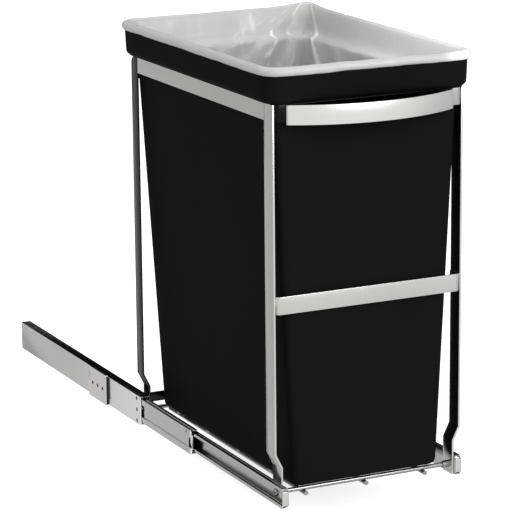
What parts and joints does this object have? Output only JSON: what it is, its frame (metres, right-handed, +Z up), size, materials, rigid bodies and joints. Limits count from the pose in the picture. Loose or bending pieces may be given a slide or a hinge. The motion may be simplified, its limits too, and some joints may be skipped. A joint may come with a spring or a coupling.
{
  "type": "pull-out waste bin",
  "caption": "Under-counter waste bin: a tapered bucket with a film liner in a flat-bar frame that slides out on ball-bearing rails.",
  "frame": {"origin": "centre of the front screw holes in the left cabinet rail, on its outer face", "axes": "+X to the right across the bin, +Y into the cabinet, +Z up"},
  "size_m": [0.2516, 0.7532, 0.4771],
  "materials": {
    "slide_steel": "zinc plated, satin",
    "cage_steel": "zinc plated, satin",
    "ball_steel": "polished",
    "screw_steel": "plated, bright",
    "wire_steel": "chromed",
    "frame_steel": "chromed over flat bar",
    "bumper_rubber": "moulded",
    "bucket_plastic": "satin, fine grain",
    "liner_film": "thin milky film, soft sheen"
  },
  "bodies": {
    "cabinet_rails": {"cabinet_rail_left": "slide_steel", "cabinet_rail_right": "slide_steel", "bracket_left": "slide_steel", "bracket_right": "slide_steel", "rear_bumpers": "bumper_rubber"},
    "outer_ball_cages": {"outer_cage_left": "cage_steel", "outer_cage_right": "cage_steel", "outer_balls": "ball_steel"},
    "intermediate_rails": {"mid_rail_left": "slide_steel", "mid_rail_right": "slide_steel"},
    "inner_ball_cages": {"inner_cage_left": "cage_steel", "inner_cage_right": "cage_steel", "inner_balls": "ball_steel"},
    "basket": {"drawer_rail_left": "slide_steel", "drawer_rail_right": "slide_steel", "rail_end_left": "slide_steel", "rail_end_right": "slide_steel", "frame_screws": "screw_steel", "tie_rods": "wire_steel", "front_post_left": "frame_steel", "front_post_right": "frame_steel", "rear_post_left": "frame_steel", "rear_post_right": "frame_steel", "side_strap_left": "frame_steel", "side_strap_right": "frame_steel", "front_crossbar": "frame_steel", "pull_handle": "frame_steel", "front_band": "frame_steel", "rear_crossbar": "frame_steel", "rear_lower_bar": "frame_steel", "tray_cross_wires": "wire_steel", "tray_long_wires": "wire_steel"},
    "bucket_and_liner": {"bucket": "bucket_plastic", "liner_bag": "liner_film"}
  },
  "joints": [
    {"name": "pull_out", "type": "slide", "parent": "cabinet_rails", "child": "basket", "axis": [0, 1, 0], "range_m": [0, 0.356]},
    {"name": "intermediate_slide", "type": "slide", "parent": "cabinet_rails", "child": "intermediate_rails", "axis": [0, 1, 0], "range_m": [0, 0.178]},
    {"name": "outer_cage_slide", "type": "slide", "parent": "cabinet_rails", "child": "outer_ball_cages", "axis": [0, 1, 0], "range_m": [0, 0.089]},
    {"name": "inner_cage_slide", "type": "slide", "parent": "cabinet_rails", "child": "inner_ball_cages", "axis": [0, 1, 0], "range_m": [0, 0.267]},
    {"name": "bucket_lift", "type": "slide", "parent": "basket", "child": "bucket_and_liner", "axis": [0, 0, 1], "range_m": [0, 0.42]}
  ],
  "couplings": [
    {"joint": "intermediate_slide", "follows": "pull_out", "ratio": 0.5},
    {"joint": "outer_cage_slide", "follows": "pull_out", "ratio": 0.25},
    {"joint": "inner_cage_slide", "follows": "pull_out", "ratio": 0.75}
  ]
}
